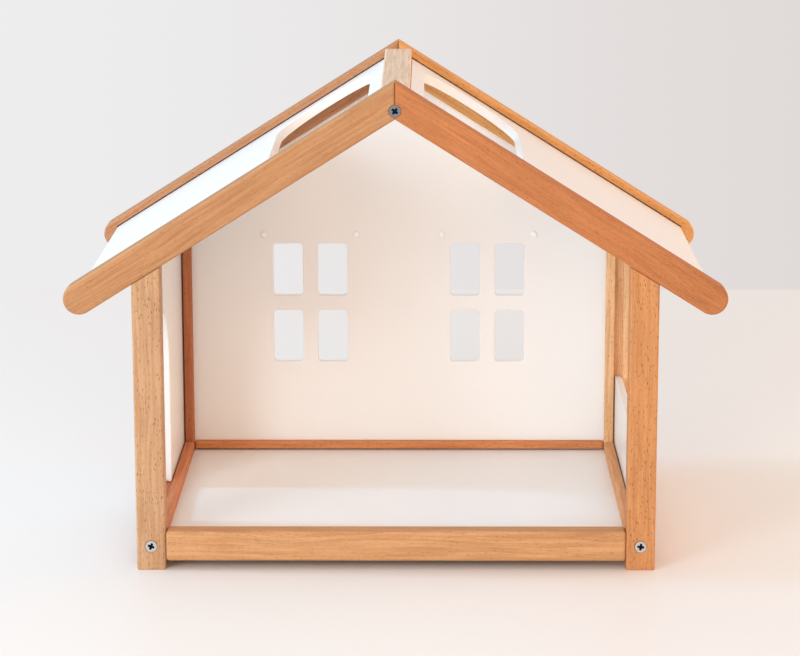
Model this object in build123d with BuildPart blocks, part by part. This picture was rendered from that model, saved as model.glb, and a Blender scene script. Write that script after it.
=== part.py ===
from build123d import *
import os
from math import cos, radians, sin, tan

# Wooden dollhouse, open at the front. Two beech gable frames are tied together by
# two side rails and a ridge beam, and thin white panels are held in their grooves.
# Millimetres. Origin on the floor, in the middle of the house. X runs along the
# width, -Y is the open front, Z is up.

# Overall size
house_width = 450.0          # over the outer faces of the posts
house_depth = 331.0          # over the outer faces of the two gable frames
peak_height = 426.0          # top of the rafters where they meet
roof_pitch = 32.2            # degrees
eave_reach = 270.0           # from the middle to the centre of a rafter's round end

# Beech stock
frame_depth = 20.0           # front to back of each gable frame
post_width = 25.0
rail_height = 27.0
rail_depth = 19.0
rail_clearance = 7.5         # from the floor to the underside of the rails
rafter_height = 27.0         # square to the slope
ridge_width = 25.0
ridge_height = 27.0
ridge_drop = 7.5             # from the peak down to the flat top of the ridge beam
edge_round = 2.0
rail_round = 3.0

# Panels and their grooves
panel = 8.0
side_panel = 6.5             # the side walls, which lean on the outer side of their grooves
groove_depth = 6.0
rail_groove_depth = 4.0      # for the walls, in the top of the rails
groove_play = 0.15           # on each side of a panel in its groove
floor_play = 1.7             # above the floor in the front and rear rails
roof_play = 1.2              # on each side of a roof panel in the rafters
ridge_play = 0.5             # between a roof panel and the ridge beam
wall_lift = 1.0              # under the walls in the rails' grooves
panel_edge = 0.8
roof_reveal = 7.5            # from the rafter's top edge down to the roof panel
roof_panel_inset = 3.2       # from the middle of a rafter's round end to the roof panel's edge
floor_top = 25.5
wall_top = 270.5
wall_peak_gap = 1.5          # from the back wall's blunted peak up to the ridge screw

# Openings
pane_width = 28.5
pane_height = 51.0
mullion = 14.5
pane_round = 3.5
window_x = 85.5
window_z = 171.4
door_width = 110.0
door_middle = -46.0          # along the depth
door_top = 201.5
low_wall_top = 99.0
skylight_near = 34.0         # down the slope from the peak
skylight_far = 137.0
skylight_length = 240.0
skylight_round = 48.0
eave_corner = 6.0

# Fasteners
screw_head = 10.0
screw_rim = 0.35             # thickness of the head's straight edge
countersink_play = 0.8
countersink_angle = 90.0
screw_shank = 4.8
screw_root = 3.4
screw_length = 60.0
screw_hole = 5.0
thread_pitch = 2.4
thread_start = 24.0
thread_valley = (0.3, 0.6)   # start and end of the root, as shares of the pitch
recess_span = 6.0            # cross recess, across its arms
recess_arm = 2.1
recess_core = 3.6
recess_depth = 2.8
recess_taper = 12.0
ridge_screw_z = 401.3
dowel = 6.0
dowel_length = 30.0
dowel_share = 1 / 6          # how far a dowel's middle stands into the piece with the longer hole
dowel_bevel = 0.6
dowel_play = 0.05
rail_dowel_spots = ((0.0, -8.5), (3.0, 3.0))   # outward and upward from a rail's middle
side_dowel_x = 6.5           # outside the middle of the post
side_dowel_drop = 7.5
mitre_dowel_z = 411.5
mitre_dowel_length = 16.0
peg_head = 6.5
peg_head_height = 2.2
peg_brim = 0.5
peg_shank = 3.4
peg_depth = 6.2
peg_rise = 8.9               # above the top of the panes
peg_spread = 44.4            # each side of the window's middle

# Worked out from the sizes above
slope = radians(roof_pitch)
post_x = (house_width - post_width) / 2
post_inner_x = house_width / 2 - post_width
frame_y = (house_depth - frame_depth) / 2
inner_y = house_depth / 2 - frame_depth
rail_top = rail_clearance + rail_height
rail_middle = rail_clearance + rail_height / 2
floor_middle = floor_top - panel / 2
groove_width = panel + 2 * groove_play
groove_reach = groove_depth - 2 * groove_play
wall_bottom = rail_top - rail_groove_depth + wall_lift
side_wall_x = post_x + groove_width / 2 - groove_play - side_panel / 2
wall_half_length = inner_y + groove_reach
countersink = screw_head / 2 + countersink_play
pane_step_x = pane_width + mullion
pane_step_z = pane_height + mullion
round_end = rafter_height / 2
round_end_slope = (eave_reach + round_end * sin(slope)) / cos(slope)
roof_panel_end = round_end_slope - roof_panel_inset
screw_turns = {"left": 20.0, "ridge": 38.0, "right": 8.0}   # of each screw's cross recess

sides = {"left": -1, "right": 1}
ends = {"front": -1, "rear": 1}


def slope_point(side, along, down):
    """The XZ point at a distance down the slope, and square below the rafters' top edge."""
    x = along * cos(slope) - down * sin(slope)
    z = peak_height - along * sin(slope) - down * cos(slope)
    return (side * x, z)


def level_at(x, down):
    """The height, above x, of the sloping line that lies `down` below the rafters' top edge."""
    return peak_height - down / cos(slope) - abs(x) * tan(slope)


def slope_plane(side):
    """Plane of one side of the roof: its X runs down the slope from the peak."""
    return Plane(
        origin=(0, 0, peak_height),
        x_dir=(side * cos(slope), 0, -sin(slope)),
        z_dir=(side * sin(slope), 0, cos(slope)),
    )


def outward(end, x, z):
    """Place on the outer face of a gable frame, facing away from the house."""
    return Plane(origin=(x, end * house_depth / 2, z), x_dir=(-end, 0, 0), z_dir=(0, end, 0))


def corner_post(side, end):
    """Post with a sloping top, grooved for the side wall, and at the rear for the back wall."""
    inner_x = side * post_inner_x
    outer_x = side * house_width / 2
    with BuildPart() as post:
        with BuildSketch(Plane.XZ.offset(-end * frame_y - frame_depth / 2)):
            with BuildLine():
                Polyline(
                    (inner_x, 0),
                    (outer_x, 0),
                    (outer_x, level_at(outer_x, rafter_height)),
                    (inner_x, level_at(inner_x, rafter_height)),
                    close=True,
                )
            make_face()
        extrude(amount=frame_depth)
        fillet(post.edges().filter_by(Axis.Z), edge_round)
        fillet(post.faces().sort_by(Axis.Z)[0].edges(), edge_round / 2)
        fillet(post.faces().sort_by(Axis.Z)[-1].edges(), edge_round / 2)
        groove_height = peak_height - wall_bottom
        groove_z = wall_bottom + groove_height / 2
        with Locations((side * post_x, end * (inner_y + groove_depth / 2), groove_z)):
            Box(groove_width, groove_depth, groove_height, mode=Mode.SUBTRACT)
        if end > 0:
            with Locations((side * (post_inner_x + groove_depth / 2), frame_y, groove_z)):
                Box(groove_depth, groove_width, groove_height, mode=Mode.SUBTRACT)
        with Locations(outward(end, side * post_x, rail_middle)):
            CounterSinkHole(screw_hole / 2, countersink, frame_depth, countersink_angle)
        with Locations(*rail_dowel_places(side, end)):
            Cylinder(dowel / 2, dowel_length, mode=Mode.SUBTRACT)
        with Locations(side_dowel_place(side, end)):
            Cylinder(dowel / 2, dowel_length, mode=Mode.SUBTRACT)
        with Locations(post_dowel_place(side, end)):
            Cylinder(dowel / 2, dowel_length, mode=Mode.SUBTRACT)
    return post.part


def rail_dowel_places(side, end):
    """Middles of the two dowels across the joint between a post and the front or rear rail."""
    x = side * (post_inner_x - dowel_length * dowel_share)
    return [
        Plane(origin=(x, end * (frame_y + outward_shift), rail_middle + rise), z_dir=(1, 0, 0))
        for outward_shift, rise in rail_dowel_spots
    ]


def side_dowel_place(side, end):
    """Middle of the dowel across the joint between a post and a side rail."""
    x = side * (post_x + side_dowel_x)
    z = rail_middle - side_dowel_drop
    return Plane(origin=(x, end * (inner_y - dowel_length * dowel_share), z), z_dir=(0, 1, 0))


def post_dowel_place(side, end):
    """Middle of the dowel between the top of a post and its rafter."""
    z = level_at(post_x, rafter_height) - dowel_length * dowel_share
    return Plane(origin=(side * post_x, end * (frame_y + edge_round / 2), z), z_dir=(0, 0, 1))


def mitre_dowel_place(end):
    """Middle of the dowel across the mitre at the peak of a gable frame."""
    return Plane(origin=(0, end * (frame_y + edge_round / 2), mitre_dowel_z), z_dir=(1, 0, 0))


def cross_rail(end):
    """Front or rear rail, eased all round, grooved for the floor and at the rear for the wall."""
    with BuildPart() as rail:
        with Locations((0, end * frame_y, rail_middle)):
            Box(2 * post_inner_x, rail_depth, rail_height)
        fillet(rail.edges(), rail_round)
        inner_face = frame_y - rail_depth / 2
        floor_groove = panel + groove_play + floor_play
        floor_groove_z = floor_top + floor_play - floor_groove / 2
        with Locations((0, end * (inner_face + groove_depth / 2), floor_groove_z)):
            Box(2 * post_inner_x, groove_depth, floor_groove, mode=Mode.SUBTRACT)
        if end > 0:
            with Locations((0, frame_y, rail_top - rail_groove_depth / 2)):
                Box(2 * post_inner_x, groove_width, rail_groove_depth, mode=Mode.SUBTRACT)
        for side in sides.values():
            with Locations(*rail_dowel_places(side, end)):
                Cylinder(dowel / 2, dowel_length, mode=Mode.SUBTRACT)
    return rail.part


def side_rail(side):
    """Rail between the front and rear posts, grooved for the floor and for the side wall."""
    with BuildPart() as rail:
        with Locations((side * post_x, 0, rail_middle)):
            Box(post_width, 2 * inner_y, rail_height)
        fillet(rail.edges(), rail_round)
        with Locations((side * (post_inner_x + groove_depth / 2), 0, floor_middle)):
            Box(groove_depth, 2 * inner_y, groove_width, mode=Mode.SUBTRACT)
        with Locations((side * post_x, 0, rail_top - rail_groove_depth / 2)):
            Box(groove_width, 2 * inner_y, rail_groove_depth, mode=Mode.SUBTRACT)
        for end in ends.values():
            with Locations(outward(end, side * post_x, rail_middle)):
                Hole(screw_hole / 2, screw_length + 1)
            with Locations(side_dowel_place(side, end)):
                Cylinder(dowel / 2, dowel_length, mode=Mode.SUBTRACT)
    return rail.part


def rafter(side, end):
    """Rafter with a round lower end, mitred at the peak, with a stopped groove for the roof."""
    with BuildPart() as beam:
        with BuildSketch(Plane.XZ.offset(-end * frame_y - frame_depth / 2)):
            with BuildLine():
                top_edge = Line(slope_point(side, 0, 0), slope_point(side, round_end_slope, 0))
                tip = ThreePointArc(
                    top_edge @ 1,
                    slope_point(side, round_end_slope + round_end, round_end),
                    slope_point(side, round_end_slope, rafter_height),
                )
                under_edge = Line(tip @ 1, (0, level_at(0, rafter_height)))
                Line(under_edge @ 1, top_edge @ 0)
            make_face()
        extrude(amount=frame_depth)
        fillet(beam.edges().group_by(Axis.Y)[0], edge_round)
        fillet(beam.edges().group_by(Axis.Y)[-1], edge_round)
        extrude(roof_groove(side, end), amount=groove_depth, mode=Mode.SUBTRACT)
        if end > 0:
            extrude(back_wall_groove(side), amount=groove_width, mode=Mode.SUBTRACT)
        with Locations(outward(end, 0, ridge_screw_z)):
            CounterSinkHole(screw_hole / 2, countersink, frame_depth, countersink_angle)
        with Locations(mitre_dowel_place(end)):
            Cylinder(dowel / 2, mitre_dowel_length, mode=Mode.SUBTRACT)
        with Locations(post_dowel_place(side, end)):
            Cylinder(dowel / 2, dowel_length, mode=Mode.SUBTRACT)
    return beam.part


def roof_groove(side, end):
    """Outline of the stopped groove for the roof panel in a rafter's inner face."""
    upper = roof_reveal - roof_play
    lower = roof_reveal + panel + roof_play
    stop = roof_panel_end + groove_play
    floor_of_groove = end * (inner_y + groove_depth / 2) + groove_depth / 2
    with BuildSketch(Plane.XZ.offset(-floor_of_groove)) as outline:
        with BuildLine():
            Polyline(
                (0, level_at(0, upper)),
                slope_point(side, stop, upper),
                slope_point(side, stop, lower),
                (0, level_at(0, lower)),
                close=True,
            )
        make_face()
    return outline.sketch


def back_wall_groove(side):
    """Outline of the groove for the back wall in a rear rafter's underside."""
    reach = post_inner_x + groove_depth
    with BuildSketch(Plane.XZ.offset(-frame_y - groove_width / 2)) as outline:
        with BuildLine():
            Polyline(
                (0, level_at(0, rafter_height - groove_depth)),
                (side * reach, level_at(reach, rafter_height - groove_depth)),
                (side * reach, level_at(reach, rafter_height)),
                (0, level_at(0, rafter_height)),
                close=True,
            )
        make_face()
    return outline.sketch


def ridge_beam():
    """Flat-topped beam between the two gable frames, held by a screw in each end."""
    with BuildPart() as beam:
        with Locations((0, 0, peak_height - ridge_drop - ridge_height / 2)):
            Box(ridge_width, 2 * inner_y, ridge_height)
        fillet(beam.edges().filter_by(Axis.Y), edge_round)
        for end in ends.values():
            with Locations(outward(end, 0, ridge_screw_z)):
                Hole(screw_hole / 2, screw_length + 1)
    return beam.part


def ease_faces(plate, axis):
    """Ease the outlines of both broad faces of the panel being built."""
    fillet(plate.edges().group_by(axis)[0], panel_edge)
    fillet(plate.edges().group_by(axis)[-1], panel_edge)


def floor_panel():
    """Floor, notched round the four posts."""
    half_x = post_inner_x + groove_reach
    half_y = frame_y - rail_depth / 2 + groove_reach
    notch_x = groove_reach + groove_play
    notch_y = half_y - inner_y + groove_play
    with BuildPart() as plate:
        with BuildSketch(Plane.XY.offset(floor_top - panel)):
            Rectangle(2 * half_x, 2 * half_y)
            with GridLocations(2 * half_x - notch_x, 2 * half_y - notch_y, 2, 2):
                Rectangle(notch_x, notch_y, mode=Mode.SUBTRACT)
        extrude(amount=panel)
    return plate.part


def back_wall():
    """Gable wall with two windows of four panes and blind holes for the curtain pegs.

    Its peak is blunted to clear the ridge screw.
    """
    half_x = post_inner_x + groove_reach
    under_rafter = rafter_height - groove_reach
    shoulder = level_at(half_x, under_rafter)
    blunt_z = ridge_screw_z - screw_hole / 2 - wall_peak_gap
    blunt_x = (level_at(0, under_rafter) - blunt_z) / tan(slope)
    with BuildPart() as plate:
        with BuildSketch(Plane.XZ.offset(-frame_y - panel / 2)):
            with BuildLine():
                Polyline(
                    (-half_x, wall_bottom),
                    (half_x, wall_bottom),
                    (half_x, shoulder),
                    (blunt_x, blunt_z),
                    (-blunt_x, blunt_z),
                    (-half_x, shoulder),
                    close=True,
                )
            make_face()
            for window in (-window_x, window_x):
                with Locations((window, window_z)):
                    with GridLocations(pane_step_x, pane_step_z, 2, 2):
                        RectangleRounded(pane_width, pane_height, pane_round, mode=Mode.SUBTRACT)
        extrude(amount=panel)
        ease_faces(plate, Axis.Y)
        for x in peg_places():
            with Locations(peg_plane(x)):
                Hole(peg_shank / 2 + dowel_play, peg_depth + 4 * dowel_play)
    return plate.part


def peg_places():
    """The X of each curtain peg, from left to right."""
    return [window + step for window in (-window_x, window_x) for step in (-peg_spread, peg_spread)]


def peg_plane(x):
    """Place of a curtain peg on the front of the back wall."""
    z = window_z + mullion / 2 + pane_height + peg_rise
    return Plane(origin=(x, frame_y - panel / 2, z), x_dir=(1, 0, 0), z_dir=(0, -1, 0))


def left_wall():
    """Side wall with an arched doorway cut up from its bottom edge.

    The tongues in the posts' grooves stop under the rafters.
    """
    height = wall_top - wall_bottom
    outer_x = side_wall_x + side_panel / 2
    tongue_drop = wall_top - level_at(outer_x, rafter_height) + groove_play
    with BuildPart() as plate:
        with BuildSketch(Plane.YZ.offset(-outer_x)):
            with Locations((0, wall_bottom + height / 2)):
                Rectangle(2 * wall_half_length, height)
            with GridLocations(2 * wall_half_length - groove_depth, 0, 2, 1):
                with Locations((0, wall_top)):
                    Rectangle(groove_depth, 2 * tongue_drop, mode=Mode.SUBTRACT)
            spring = door_top - door_width / 2
            with Locations((door_middle, spring)):
                Circle(door_width / 2, mode=Mode.SUBTRACT)
            with Locations((door_middle, (wall_bottom + spring) / 2)):
                Rectangle(door_width, spring - wall_bottom, mode=Mode.SUBTRACT)
        extrude(amount=side_panel)
        ease_faces(plate, Axis.X)
    return plate.part


def right_wall():
    """Low side wall with a level top."""
    height = low_wall_top - wall_bottom
    with BuildPart() as plate:
        with BuildSketch(Plane.YZ.offset(side_wall_x - side_panel / 2)):
            with Locations((0, wall_bottom + height / 2)):
                Rectangle(2 * wall_half_length, height)
        extrude(amount=side_panel)
        ease_faces(plate, Axis.X)
    return plate.part


def roof_panel(side):
    """Roof panel with a long rounded skylight beside the ridge beam."""
    top = slope_plane(side).offset(-roof_reveal)
    bevel = ridge_width / 2 + ridge_play
    with BuildPart() as plate:
        with BuildSketch(top.offset(-panel)):
            with Locations((roof_panel_end / 2, 0)):
                outline = Rectangle(roof_panel_end, 2 * wall_half_length)
            fillet(outline.vertices().group_by(Axis.Z)[0], eave_corner)
            with Locations(((skylight_near + skylight_far) / 2, 0)):
                RectangleRounded(
                    skylight_far - skylight_near,
                    skylight_length,
                    skylight_round,
                    mode=Mode.SUBTRACT,
                )
        extrude(amount=panel)
        ease_faces(plate, Axis((0, 0, 0), top.z_dir))
        keep = Keep.TOP if side > 0 else Keep.BOTTOM
        split(bisect_by=Plane.YZ.offset(side * bevel), keep=keep)
    return plate.part


def screw(end, x, z, turn):
    """Countersunk cross-head wood screw, driven in from the outer face of a gable frame."""
    head = screw_head / 2
    shank = screw_shank / 2
    root = screw_root / 2
    valley_start, valley_end = thread_valley
    face = Plane(
        origin=(x, end * (house_depth / 2), z),
        x_dir=(-end, 0, 0),
        z_dir=(0, 0, 1),
    )
    outline = [(0, 0), (head, 0), (head, screw_rim), (shank, screw_rim + head - shank)]
    outline.append((shank, thread_start))
    depth = thread_start
    while depth < screw_length - 3 * thread_pitch:
        outline.append((root, depth + thread_pitch * valley_start))
        outline.append((root, depth + thread_pitch * valley_end))
        outline.append((shank, depth + thread_pitch))
        depth += thread_pitch
    outline.append((root, depth + thread_pitch * valley_start))
    outline.append((0, screw_length))
    with BuildPart() as fastener:
        with BuildSketch(face):
            with BuildLine():
                Polyline(*outline, close=True)
            make_face()
        revolve(axis=Axis(face.origin, face.y_dir))
        with BuildSketch(Plane(origin=face.origin, x_dir=(1, 0, 0), z_dir=(0, -end, 0))):
            Rectangle(recess_span, recess_arm, rotation=turn)
            Rectangle(recess_arm, recess_span, rotation=turn)
            Circle(recess_core / 2)
        extrude(amount=recess_depth, taper=recess_taper, mode=Mode.SUBTRACT)
    return fastener.part


def peg(x):
    """Domed white peg pushed into the back wall, to hold a curtain string."""
    place = peg_plane(x)
    profile = Plane(origin=place.origin, x_dir=(1, 0, 0), z_dir=(0, 0, 1))
    with BuildPart() as pin:
        with BuildSketch(profile):
            with BuildLine():
                Polyline(
                    (0, peg_depth),
                    (peg_shank / 2, peg_depth),
                    (peg_shank / 2, 0),
                    (peg_head / 2, 0),
                    (peg_head / 2, -peg_head_height),
                    (0, -peg_head_height),
                    close=True,
                )
            make_face()
        revolve(axis=Axis(profile.origin, profile.y_dir))
        fillet(pin.edges().group_by(Axis.Y)[0], peg_head_height - peg_brim)
        chamfer(pin.edges().group_by(Axis.Y)[-1], peg_brim)
    return pin.part


def dowels(places, length):
    """Glued beech dowels with bevelled ends, one at each place."""
    with BuildPart() as pins:
        with Locations(*places):
            Cylinder(dowel / 2 - dowel_play, length - 4 * dowel_play)
        chamfer(pins.edges().filter_by(GeomType.CIRCLE), dowel_bevel)
    return pins.part


def all_parts():
    """Every piece of the house with the name that it goes by."""
    pieces = {}
    for end_name, end in ends.items():
        for side_name, side in sides.items():
            pieces[f"post_{end_name}_{side_name}"] = corner_post(side, end)
            pieces[f"rafter_{end_name}_{side_name}"] = rafter(side, end)
            turn = screw_turns[side_name]
            pieces[f"screw_{end_name}_{side_name}"] = screw(end, side * post_x, rail_middle, turn)
        pieces[f"rail_{end_name}"] = cross_rail(end)
        pieces[f"screw_{end_name}_ridge"] = screw(end, 0, ridge_screw_z, screw_turns["ridge"])
        rail_dowels = [place for side in sides.values() for place in rail_dowel_places(side, end)]
        pieces[f"dowels_rail_{end_name}"] = dowels(rail_dowels, dowel_length)
        pieces[f"dowel_mitre_{end_name}"] = dowels([mitre_dowel_place(end)], mitre_dowel_length)
    for side_name, side in sides.items():
        pieces[f"rail_{side_name}"] = side_rail(side)
        pieces[f"roof_panel_{side_name}"] = roof_panel(side)
        side_dowels = [side_dowel_place(side, end) for end in ends.values()]
        pieces[f"dowels_rail_{side_name}"] = dowels(side_dowels, dowel_length)
        post_dowels = [post_dowel_place(side, end) for end in ends.values()]
        pieces[f"dowels_rafter_{side_name}"] = dowels(post_dowels, dowel_length)
    pieces["ridge_beam"] = ridge_beam()
    pieces["floor_panel"] = floor_panel()
    pieces["back_wall"] = back_wall()
    pieces["left_wall"] = left_wall()
    pieces["right_wall"] = right_wall()
    for name, x in zip(("outer_left", "inner_left", "inner_right", "outer_right"), peg_places()):
        pieces[f"curtain_peg_{name}"] = peg(x)
    return pieces


os.makedirs("parts", exist_ok=True)
for name, solid in all_parts().items():
    solid.label = name
    export_step(solid, f"parts/{name}.step")
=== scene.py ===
from math import radians

import bpy
import bmesh
from mathutils import Euler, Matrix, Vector


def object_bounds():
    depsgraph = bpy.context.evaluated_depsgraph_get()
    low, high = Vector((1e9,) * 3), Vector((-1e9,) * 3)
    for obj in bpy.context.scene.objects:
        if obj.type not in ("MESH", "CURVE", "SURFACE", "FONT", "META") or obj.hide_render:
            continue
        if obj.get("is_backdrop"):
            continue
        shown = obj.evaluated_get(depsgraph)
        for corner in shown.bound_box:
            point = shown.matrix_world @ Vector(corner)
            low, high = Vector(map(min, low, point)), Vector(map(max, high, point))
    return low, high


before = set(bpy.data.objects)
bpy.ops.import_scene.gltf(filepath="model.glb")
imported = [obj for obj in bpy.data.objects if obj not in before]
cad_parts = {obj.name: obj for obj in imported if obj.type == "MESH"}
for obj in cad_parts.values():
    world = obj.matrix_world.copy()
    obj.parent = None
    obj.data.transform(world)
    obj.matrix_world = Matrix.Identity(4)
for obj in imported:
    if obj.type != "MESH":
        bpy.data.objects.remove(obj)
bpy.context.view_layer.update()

# Wooden dollhouse: beech gable frames with white lacquered panels in their grooves.
# Metres, in the frame of the CAD model: X along the width, -Y the open front, Z up.

MM = 0.001
ENDS = ("front", "rear")
SIDES = ("left", "right")

# Camera
CAMERA_PLACE = (0.0266, -2.4719, 0.7170)
CAMERA_PITCH = 12.27         # degrees below the horizon
CAMERA_TURN = 0.56           # degrees to the left of +Y
CAMERA_ROLL = -0.10
CAMERA_LENS = 124.53

# Table and surroundings
TABLE_BACK = 1.06            # from the house's middle to the table's far edge
TABLE_REACH = 6.0            # and to its other edges
TABLE_COLOUR = (0.86, 0.83, 0.80)
TABLE_SHADE = 0.98           # of the table's darker clouds
ROOM_LEFT = (0.855, 0.850, 0.855)
ROOM_RIGHT = (0.745, 0.695, 0.680)
ROOM_TURN = (-0.16, 0.18)    # X of the directions between which the room's colour changes

# How far each beech piece is turned so that its grain lies along X
ROOF_PITCH = radians(32.2)
ALONG_X = Euler((0, 0, 0))
ALONG_Y = Euler((0, 0, radians(-90)))
ALONG_Z = Euler((0, radians(90), 0))
UP_SLOPE = {"left": Euler((0, ROOF_PITCH, 0)), "right": Euler((0, -ROOF_PITCH, 0))}

# Beech: colours, and the sizes of its figure in millimetres, along the grain first
BEECH_LIGHT = (0.76, 0.455, 0.25)
BEECH_DARK = (0.50, 0.225, 0.09)
BEECH_FLECK = (0.30, 0.11, 0.035)
WANDER_SIZE = (110.0, 22.0, 22.0)
WANDER_REACH = (0.0, 9.0, 9.0)
PITH = (0, 62, -48)          # from the middle of a bar to the heart of its tree
RING_WIDTH = 5.2
RING_UNEVEN = (160, 9, 9)
STREAK_SIZE = (60, 1.9, 1.9)
FIBRE_SIZE = (6.0, 0.50, 0.50)
TONE_SIZE = (60, 14, 14)
FLECK_CELL = (5.0, 1.35, 1.35)
EDGE_PATCH_SIZE = (22, 6, 6)
EDGE_HIGHLIGHT_BAND = 2.6              # width of the painted highlight on a bar's edges
GRAIN_DEPTH = 0.12 * MM

# Each bar has a tone which multiplies the colours of the beech: partly its own tone, partly painted shade
# on bars in shade (the rear left post) and painted light on lit bars (the rear right post, the right
# rail, the ridge beam).
TONE = (0.78, 0.58, 0.44)
TONES_AND_PAINTED_LIGHT = {
    "post_front_left": (0.79, 0.81, 0.84),
    "post_front_right": (0.85, 0.675, 0.49),
    "post_rear_left": (0.70, 0.43, 0.35),
    "post_rear_right": (1.19, 1.24, 1.22),
    "rail_front": (0.86, 0.79, 0.68),
    "rail_rear": (0.88, 0.62, 0.46),
    "rail_left": (0.91, 0.58, 0.45),
    "rail_right": (1.05, 0.90, 0.78),
    "rafter_front_left": (0.70, 0.61, 0.51),
    "rafter_front_right": (0.73, 0.48, 0.32),
    "rafter_rear_left": (0.71, 0.60, 0.55),
    "rafter_rear_right": (1.05, 0.93, 0.62),
    "ridge_beam": (1.18, 1.57, 2.20),
}

# How strong the ray flecks are on the bars that show more or fewer than the others
FLECKS = {
    "post_front_left": 1.5,
    "post_front_right": 1.5,
    "rafter_front_left": 0.55,
    "rafter_front_right": 0.75,
    "rafter_rear_right": 1.3,
    "rail_front": 0.7,
    "rail_rear": 1.2,
    "ridge_beam": 0.3,
}

# White lacquer, zinc and plastic
WHITE = (0.87, 0.855, 0.84)
PEEL_DEPTH = 0.05 * MM
ZINC = (0.56, 0.58, 0.60)
# Darker zinc for the ridge screws, a painted dark reflection of the surroundings
ZINC_PAINTED_DARK_REFLECTION = (0.20, 0.23, 0.28)
TURNING_DEPTH = 0.02 * MM
# Near black painted into the cross recess of the screws as its shade
RECESS_SHADE = (0.012, 0.017, 0.030)
RECESS_RADIUS = 3.2          # millimetres, as is the depth
RECESS_DEPTH = 3.0
PLASTIC_DARK = (0.92, 0.91, 0.90)
PLASTIC_LIGHT = (0.97, 0.96, 0.95)


# ---------------------------------------------------------------- node helpers


def add_node(tree, kind, inputs=None, **properties):
    """A new node with its properties set and its sockets set or linked."""
    made = tree.nodes.new(kind)
    for name, value in properties.items():
        setattr(made, name, value)
    for key, value in (inputs or {}).items():
        if isinstance(value, bpy.types.NodeSocket):
            tree.links.new(value, made.inputs[key])
        else:
            made.inputs[key].default_value = value
    return made


def maths(tree, operation, *values, clamp=False):
    """One arithmetic step."""
    made = add_node(tree, "ShaderNodeMath", dict(enumerate(values)), operation=operation)
    made.use_clamp = clamp
    return made.outputs[0]


def vector_maths(tree, operation, *values):
    """One step of vector arithmetic."""
    made = add_node(tree, "ShaderNodeVectorMath", dict(enumerate(values)), operation=operation)
    return made.outputs["Vector"]


def length_of(tree, vector):
    """The length of a vector."""
    return add_node(tree, "ShaderNodeVectorMath", {0: vector}, operation="LENGTH").outputs["Value"]


def smooth(tree, value, low, high):
    """0 below low, 1 above high, with a soft step between."""
    inputs = {"Value": value, "From Min": low, "From Max": high}
    made = add_node(tree, "ShaderNodeMapRange", inputs, interpolation_type="SMOOTHSTEP")
    return made.outputs["Result"]


def spread(tree, value, low, high):
    """A 0 to 1 value spread over low to high."""
    inputs = {"Value": value, "To Min": low, "To Max": high}
    return add_node(tree, "ShaderNodeMapRange", inputs).outputs["Result"]


def noise(tree, place, size, detail=2.0, roughness=0.5):
    """Soft noise whose features are of this size along each axis."""
    scaled = vector_maths(tree, "DIVIDE", place, size)
    inputs = {"Vector": scaled, "Scale": 1.0, "Detail": detail, "Roughness": roughness}
    return add_node(tree, "ShaderNodeTexNoise", inputs).outputs["Fac"]


def mix(tree, factor, first, second, blend="MIX"):
    """Two colours mixed."""
    made = add_node(tree, "ShaderNodeMix", data_type="RGBA", blend_type=blend)
    for socket, value in zip((made.inputs[0], made.inputs[6], made.inputs[7]), (factor, first, second)):
        if isinstance(value, bpy.types.NodeSocket):
            tree.links.new(value, socket)
        elif isinstance(value, (int, float)):
            socket.default_value = value
        else:
            socket.default_value = (*value, 1.0)
    return made.outputs[2]


def new_material(name):
    """An empty material with its output and main shader, linked."""
    material = bpy.data.materials.new(name)
    material.use_nodes = True
    tree = material.node_tree
    tree.nodes.clear()
    shader = add_node(tree, "ShaderNodeBsdfPrincipled")
    output = add_node(tree, "ShaderNodeOutputMaterial")
    tree.links.new(shader.outputs["BSDF"], output.inputs["Surface"])
    return material, tree, shader


def set_inputs(tree, shader, values):
    """Set or link some of a shader's sockets."""
    for name, value in values.items():
        if isinstance(value, bpy.types.NodeSocket):
            tree.links.new(value, shader.inputs[name])
        else:
            shader.inputs[name].default_value = value


def piece_place(tree, turn, middle):
    """Place in a piece in millimetres from its middle, with its length along X."""
    coordinates = add_node(tree, "ShaderNodeTexCoord").outputs["Object"]
    inputs = {"Vector": coordinates, "Location": -middle, "Rotation": turn, "Scale": (1 / MM,) * 3}
    return add_node(tree, "ShaderNodeMapping", inputs).outputs["Vector"]


def turned_box(piece, turn):
    """Middle and half size of a piece in millimetres, once it is turned."""
    rotation = turn.to_matrix()
    points = [rotation @ vertex.co / MM for vertex in piece.data.vertices]
    low = Vector(min(point[axis] for point in points) for axis in range(3))
    high = Vector(max(point[axis] for point in points) for axis in range(3))
    return (low + high) / 2, (high - low) / 2


def edge_mask(tree, place, half, band):
    """1 on the long and short edges of a box-like piece, 0 further in than the band."""
    inset = vector_maths(tree, "SUBTRACT", vector_maths(tree, "ABSOLUTE", place), tuple(half))
    parts = add_node(tree, "ShaderNodeSeparateXYZ", {0: inset}).outputs
    near = [smooth(tree, part, -band, 0.0) for part in parts]
    pairs = [maths(tree, "MULTIPLY", near[a], near[b]) for a, b in ((0, 1), (1, 2), (0, 2))]
    return maths(tree, "MAXIMUM", maths(tree, "MAXIMUM", pairs[0], pairs[1]), pairs[2])


# ---------------------------------------------------------------- materials


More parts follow.
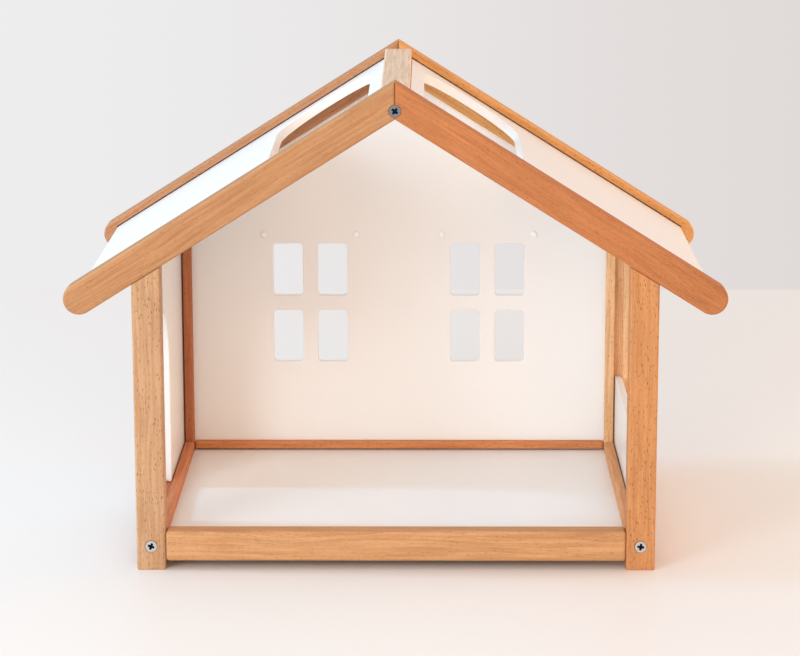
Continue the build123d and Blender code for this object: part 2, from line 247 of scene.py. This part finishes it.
def beech_grain():
    """Group that paints steamed beech: growth rings, fibres and dark ray flecks along X."""
    group = bpy.data.node_groups.new("beech_grain", "ShaderNodeTree")
    for name, kind in (("Place", "NodeSocketVector"), ("Shift", "NodeSocketVector"),
                       ("Edge highlight", "NodeSocketFloat"), ("End grain", "NodeSocketFloat"),
                       ("Fleck amount", "NodeSocketFloat"), ("Tint", "NodeSocketColor")):
        group.interface.new_socket(name=name, in_out="INPUT", socket_type=kind)
    for name, kind in (("Colour", "NodeSocketColor"), ("Roughness", "NodeSocketFloat"),
                       ("Height", "NodeSocketFloat")):
        group.interface.new_socket(name=name, in_out="OUTPUT", socket_type=kind)
    given = add_node(group, "NodeGroupInput").outputs
    place = vector_maths(group, "ADD", given["Place"], given["Shift"])

    # The fibres wander a little along the length, and everything else follows them.
    scaled = vector_maths(group, "DIVIDE", place, WANDER_SIZE)
    inputs = {"Vector": scaled, "Scale": 1.0, "Detail": 1.5}
    wander = add_node(group, "ShaderNodeTexNoise", inputs).outputs["Color"]
    wander = vector_maths(group, "SUBTRACT", wander, (0.5, 0.5, 0.5))
    wander = vector_maths(group, "MULTIPLY", wander, WANDER_REACH)
    place = vector_maths(group, "ADD", place, wander)

    # Growth rings round a pith outside the piece, darker towards each ring's end.
    from_pith = vector_maths(group, "ADD", vector_maths(group, "MULTIPLY", place, (0, 1, 1)), PITH)
    uneven = maths(group, "MULTIPLY", noise(group, place, RING_UNEVEN, 3.0), 2.6)
    growth = maths(group, "DIVIDE", length_of(group, from_pith), RING_WIDTH)
    growth = maths(group, "ADD", growth, uneven)
    ring = smooth(group, maths(group, "FRACT", growth), 0.1, 0.95)

    # Long streaks, fine fibres and a slow change of tone.
    streak = smooth(group, noise(group, place, STREAK_SIZE, 3.0), 0.36, 0.70)
    fibre = noise(group, place, FIBRE_SIZE, 3.0, 0.65)
    tone = noise(group, place, TONE_SIZE, 2.0)

    # Ray flecks: short dark dashes of uneven size, some of them missing.
    scaled = vector_maths(group, "DIVIDE", place, FLECK_CELL)
    cell = add_node(group, "ShaderNodeTexVoronoi", {"Vector": scaled, "Scale": 1.0}).outputs
    chance = add_node(group, "ShaderNodeSeparateXYZ", {0: cell["Color"]}).outputs
    kept = smooth(group, chance[0], 0.15, 0.55)
    size = spread(group, chance[1], 0.24, 0.44)
    fleck = smooth(group, maths(group, "DIVIDE", cell["Distance"], size), 1.0, 0.35)
    fleck = maths(group, "MULTIPLY", maths(group, "MULTIPLY", fleck, kept), given["Fleck amount"])

    # The darker parts add up, the flecks lie over them, and the edges are made lighter as a painted
    # highlight, in patches.
    fibre_shade = maths(group, "MULTIPLY", spread(group, fibre, -0.6, 1.6), 0.42)
    shade = maths(group, "MULTIPLY", ring, 0.20)
    shade = maths(group, "ADD", shade, maths(group, "MULTIPLY", streak, 0.31))
    shade = maths(group, "ADD", shade, fibre_shade, clamp=True)
    colour = mix(group, shade, BEECH_LIGHT, BEECH_DARK)
    colour = mix(group, maths(group, "MULTIPLY", fleck, 0.58), colour, BEECH_FLECK)
    lightness = spread(group, tone, 0.86, 1.14)
    # Painted highlight: lighter on the edges.
    lightness = maths(group, "ADD", lightness, maths(group, "MULTIPLY", given["Edge highlight"], 0.10))
    lightness = maths(group, "SUBTRACT", lightness, maths(group, "MULTIPLY", given["End grain"], 0.16))
    grey = add_node(group, "ShaderNodeCombineXYZ", {0: lightness, 1: lightness, 2: lightness}).outputs[0]
    colour = mix(group, 1.0, colour, grey, "MULTIPLY")
    # The bar's tone, which holds painted light and shade as well as its own tone.
    colour = mix(group, 1.0, colour, given["Tint"], "MULTIPLY")

    rough = spread(group, fibre, 0.50, 0.66)
    rough = maths(group, "SUBTRACT", rough, maths(group, "MULTIPLY", given["Edge highlight"], 0.08))
    height = maths(group, "SUBTRACT", fibre, maths(group, "MULTIPLY", fleck, 0.5))
    output = add_node(group, "NodeGroupOutput")
    for name, socket in (("Colour", colour), ("Roughness", rough), ("Height", height)):
        group.links.new(socket, output.inputs[name])
    return group


def beech(piece, turn, shift):
    """Beech on a bar: its own stretch of the same wood, with a painted highlight on its edges and darker
    ends.
    """
    material, tree, shader = new_material(f"beech_{piece.name}")
    middle, half = turned_box(piece, turn)
    place = piece_place(tree, turn, middle)
    normal = add_node(tree, "ShaderNodeTexCoord").outputs["Normal"]
    normal = add_node(tree, "ShaderNodeMapping", {"Vector": normal, "Rotation": turn}).outputs["Vector"]
    along = add_node(tree, "ShaderNodeSeparateXYZ", {0: normal}).outputs["X"]
    # Patches in which the painted edge highlight shows.
    edge_highlight_patches = smooth(tree, noise(tree, place, EDGE_PATCH_SIZE, 3.0), 0.30, 0.65)
    grain = add_node(tree, "ShaderNodeGroup", node_tree=GRAIN)
    set_inputs(tree, grain, {
        "Place": place,
        "Shift": shift,
        "Edge highlight": maths(tree, "MULTIPLY", edge_mask(tree, place, half, EDGE_HIGHLIGHT_BAND), edge_highlight_patches),
        "End grain": smooth(tree, maths(tree, "ABSOLUTE", along), 0.6, 0.95),
        "Fleck amount": FLECKS.get(piece.name, 1.0),
        # The tone carries painted light and shade as well as the bar's own tone.
        "Tint": (*TONES_AND_PAINTED_LIGHT.get(piece.name, TONE), 1.0),
    })
    bump = add_node(tree, "ShaderNodeBump", {
        "Height": grain.outputs["Height"], "Strength": 0.35, "Distance": GRAIN_DEPTH,
    })
    set_inputs(tree, shader, {
        "Base Color": grain.outputs["Colour"],
        "Roughness": grain.outputs["Roughness"],
        "Normal": bump.outputs["Normal"],
        "Specular IOR Level": 0.28,
    })
    return material


def white_lacquer(piece, shift):
    """Satin white lacquer on fibreboard: faint clouds, smears in its gloss, and orange peel."""
    material, tree, shader = new_material(f"white_{piece.name}")
    middle, _ = turned_box(piece, ALONG_X)
    place = vector_maths(tree, "ADD", piece_place(tree, ALONG_X, middle), shift)
    cloud = noise(tree, place, (90, 90, 90), 3.0)
    peel = noise(tree, place, (1.6, 1.6, 1.6), 2.0)
    smear = smooth(tree, noise(tree, place, (30, 12, 30), 4.0), 0.45, 0.7)
    lightness = spread(tree, cloud, 0.975, 1.01)
    grey = add_node(tree, "ShaderNodeCombineXYZ", {0: lightness, 1: lightness, 2: lightness}).outputs[0]
    bump = add_node(tree, "ShaderNodeBump", {"Height": peel, "Strength": 0.25, "Distance": PEEL_DEPTH})
    set_inputs(tree, shader, {
        "Base Color": mix(tree, 1.0, WHITE, grey, "MULTIPLY"),
        "Roughness": spread(tree, smear, 0.34, 0.42),
        "Normal": bump.outputs["Normal"],
        "Specular IOR Level": 0.5,
    })
    return material


def zinc(piece, tint):
    """Zinc plating with turning marks, and painted shade that makes the inside of the cross-head hollow
    nearly black.
    """
    material, tree, shader = new_material(f"zinc_{piece.name}")
    middle, half = turned_box(piece, ALONG_X)
    place = piece_place(tree, ALONG_X, middle)
    radius = length_of(tree, vector_maths(tree, "MULTIPLY", place, (1, 0, 1)))
    along = add_node(tree, "ShaderNodeSeparateXYZ", {0: place}).outputs["Y"]
    depth = maths(tree, "SUBTRACT", half.y, maths(tree, "ABSOLUTE", along))
    # Painted shade: nearly black inside the cross recess.
    near_axis = smooth(tree, radius, RECESS_RADIUS + 0.3, RECESS_RADIUS)
    near_head = smooth(tree, depth, RECESS_DEPTH + 0.4, RECESS_DEPTH)
    recess_shade = maths(tree, "MULTIPLY", smooth(tree, depth, 0.02, 0.30), near_axis)
    recess_shade = maths(tree, "MULTIPLY", recess_shade, near_head)
    turning = maths(tree, "SINE", maths(tree, "MULTIPLY", radius, 28.0))
    blotch = noise(tree, place, (1.4, 1.4, 1.4), 3.0)
    bump = add_node(tree, "ShaderNodeBump", {
        "Height": turning, "Strength": 0.15, "Distance": TURNING_DEPTH,
    })
    set_inputs(tree, shader, {
        "Base Color": mix(tree, recess_shade, tint, RECESS_SHADE),
        "Metallic": 1.0,
        "Roughness": spread(tree, blotch, 0.20, 0.36),
        "Normal": bump.outputs["Normal"],
    })
    return material


def white_plastic(piece):
    """Moulded white plastic of the curtain pegs."""
    material, tree, shader = new_material(f"plastic_{piece.name}")
    middle, _ = turned_box(piece, ALONG_X)
    place = piece_place(tree, ALONG_X, middle)
    cloud = noise(tree, place, (2.5, 2.5, 2.5), 2.0)
    set_inputs(tree, shader, {
        "Base Color": mix(tree, cloud, PLASTIC_DARK, PLASTIC_LIGHT),
        "Roughness": spread(tree, cloud, 0.14, 0.24),
        "Coat Weight": 0.4,
    })
    return material


def give(name, material):
    """Put one material on a whole CAD node."""
    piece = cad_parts[name]
    piece.data.materials.clear()
    piece.data.materials.append(material)


def dress_beech():
    """Each beech bar gets its own stretch of wood, with the grain along its length."""
    turns = {"ridge_beam": ALONG_Y}
    for end in ENDS:
        turns[f"rail_{end}"] = ALONG_X
        for side in SIDES:
            turns[f"post_{end}_{side}"] = ALONG_Z
            turns[f"rafter_{end}_{side}"] = UP_SLOPE[side]
            turns[f"dowels_rafter_{side}"] = ALONG_Z
        turns[f"dowels_rail_{end}"] = ALONG_X
        turns[f"dowel_mitre_{end}"] = ALONG_X
    for side in SIDES:
        turns[f"rail_{side}"] = ALONG_Y
        turns[f"dowels_rail_{side}"] = ALONG_Y
    for number, (name, turn) in enumerate(turns.items()):
        shift = (531.0 * number, 97.0 * number, -71.0 * number)
        give(name, beech(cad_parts[name], turn, shift))


def dress_panels():
    """White lacquer on the walls, the floor and the roof."""
    names = ("floor_panel", "back_wall", "left_wall", "right_wall", "roof_panel_left", "roof_panel_right")
    for number, name in enumerate(names):
        give(name, white_lacquer(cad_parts[name], (300.0 * number, 40.0 * number, 0.0)))


def dress_fittings():
    """Zinc on the screws, and plastic on the pegs."""
    for name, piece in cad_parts.items():
        if name.startswith("screw"):
            # The ridge screws get the painted dark reflection.
            give(name, zinc(piece, ZINC_PAINTED_DARK_REFLECTION if "ridge" in name else ZINC))
        if name.startswith("curtain_peg"):
            give(name, white_plastic(piece))


# ---------------------------------------------------------------- surroundings


def table():
    """Pale table top, which ends behind the house."""
    mesh = bpy.data.meshes.new("table")
    build = bmesh.new()
    left, right, front, back = -TABLE_REACH, TABLE_REACH, -TABLE_REACH, TABLE_BACK
    corners = ((left, front), (right, front), (right, back), (left, back))
    build.faces.new([build.verts.new((x, y, 0.0)) for x, y in corners])
    build.to_mesh(mesh)
    build.free()
    top = bpy.data.objects.new("table", mesh)
    bpy.context.scene.collection.objects.link(top)
    material, tree, shader = new_material("table_top")
    place = piece_place(tree, ALONG_X, Vector((0, 0, 0)))
    cloud = noise(tree, place, (400, 400, 400), 2.0)
    set_inputs(tree, shader, {
        "Base Color": mix(tree, cloud, [part * TABLE_SHADE for part in TABLE_COLOUR], TABLE_COLOUR),
        "Roughness": spread(tree, cloud, 0.42, 0.5),
    })
    mesh.materials.append(material)
    top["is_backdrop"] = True


def room():
    """Plain pale surroundings, a little warmer and darker towards the right."""
    world = bpy.data.worlds.new("room")
    bpy.context.scene.world = world
    world.use_nodes = True
    tree = world.node_tree
    direction = add_node(tree, "ShaderNodeTexCoord").outputs["Generated"]
    across = add_node(tree, "ShaderNodeSeparateXYZ", {0: direction}).outputs["X"]
    colour = mix(tree, smooth(tree, across, *ROOM_TURN), ROOM_LEFT, ROOM_RIGHT)
    tree.links.new(colour, tree.nodes["Background"].inputs["Color"])


def softbox(name, place, aim, size, power, colour):
    """Large soft light at a place, turned towards a point."""
    light = bpy.data.lights.new(name, "AREA")
    light.shape = "SQUARE"
    light.size = size
    light.energy = power
    light.color = colour
    lamp = bpy.data.objects.new(name, light)
    lamp.location = place
    lamp.rotation_euler = (Vector(aim) - Vector(place)).to_track_quat("-Z", "Y").to_euler()
    bpy.context.scene.collection.objects.link(lamp)


def lights():
    """Cool daylight from the left and front left, warmer light from the front and the right."""
    low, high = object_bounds()
    middle = (low + high) / 2
    softbox("daylight", (-3.15, 0.02, 1.45), middle, 0.3, 110.0, (0.15, 0.31, 0.45))
    softbox("daylight_front", (-1.8, -2.4, 0.9), middle, 1.2, 90.0, (0.34, 0.42, 0.47))
    softbox("warm_front", (0.2, -3.4, 1.6), middle, 2.0, 90.0, (0.39, 0.235, 0.12))
    softbox("warm_side", (2.4, 0.3, 0.5), middle, 0.9, 60.0, (0.44, 0.24, 0.09))


def camera():
    """Camera in front of the house, looking slightly down."""
    data = bpy.data.cameras.new("camera")
    data.lens = CAMERA_LENS
    data.sensor_width = 36.0
    eye = bpy.data.objects.new("camera", data)
    turn = Euler((0, 0, radians(CAMERA_TURN))).to_matrix()
    tilt = Euler((radians(90 - CAMERA_PITCH), 0, 0)).to_matrix()
    roll = Euler((0, 0, radians(CAMERA_ROLL))).to_matrix()
    eye.rotation_euler = (turn @ tilt @ roll).to_euler()
    eye.location = CAMERA_PLACE
    bpy.context.scene.collection.objects.link(eye)
    bpy.context.scene.camera = eye


bpy.context.scene.view_settings.view_transform = "Standard"
camera()
room()
table()
lights()
GRAIN = beech_grain()
dress_beech()
dress_panels()
dress_fittings()
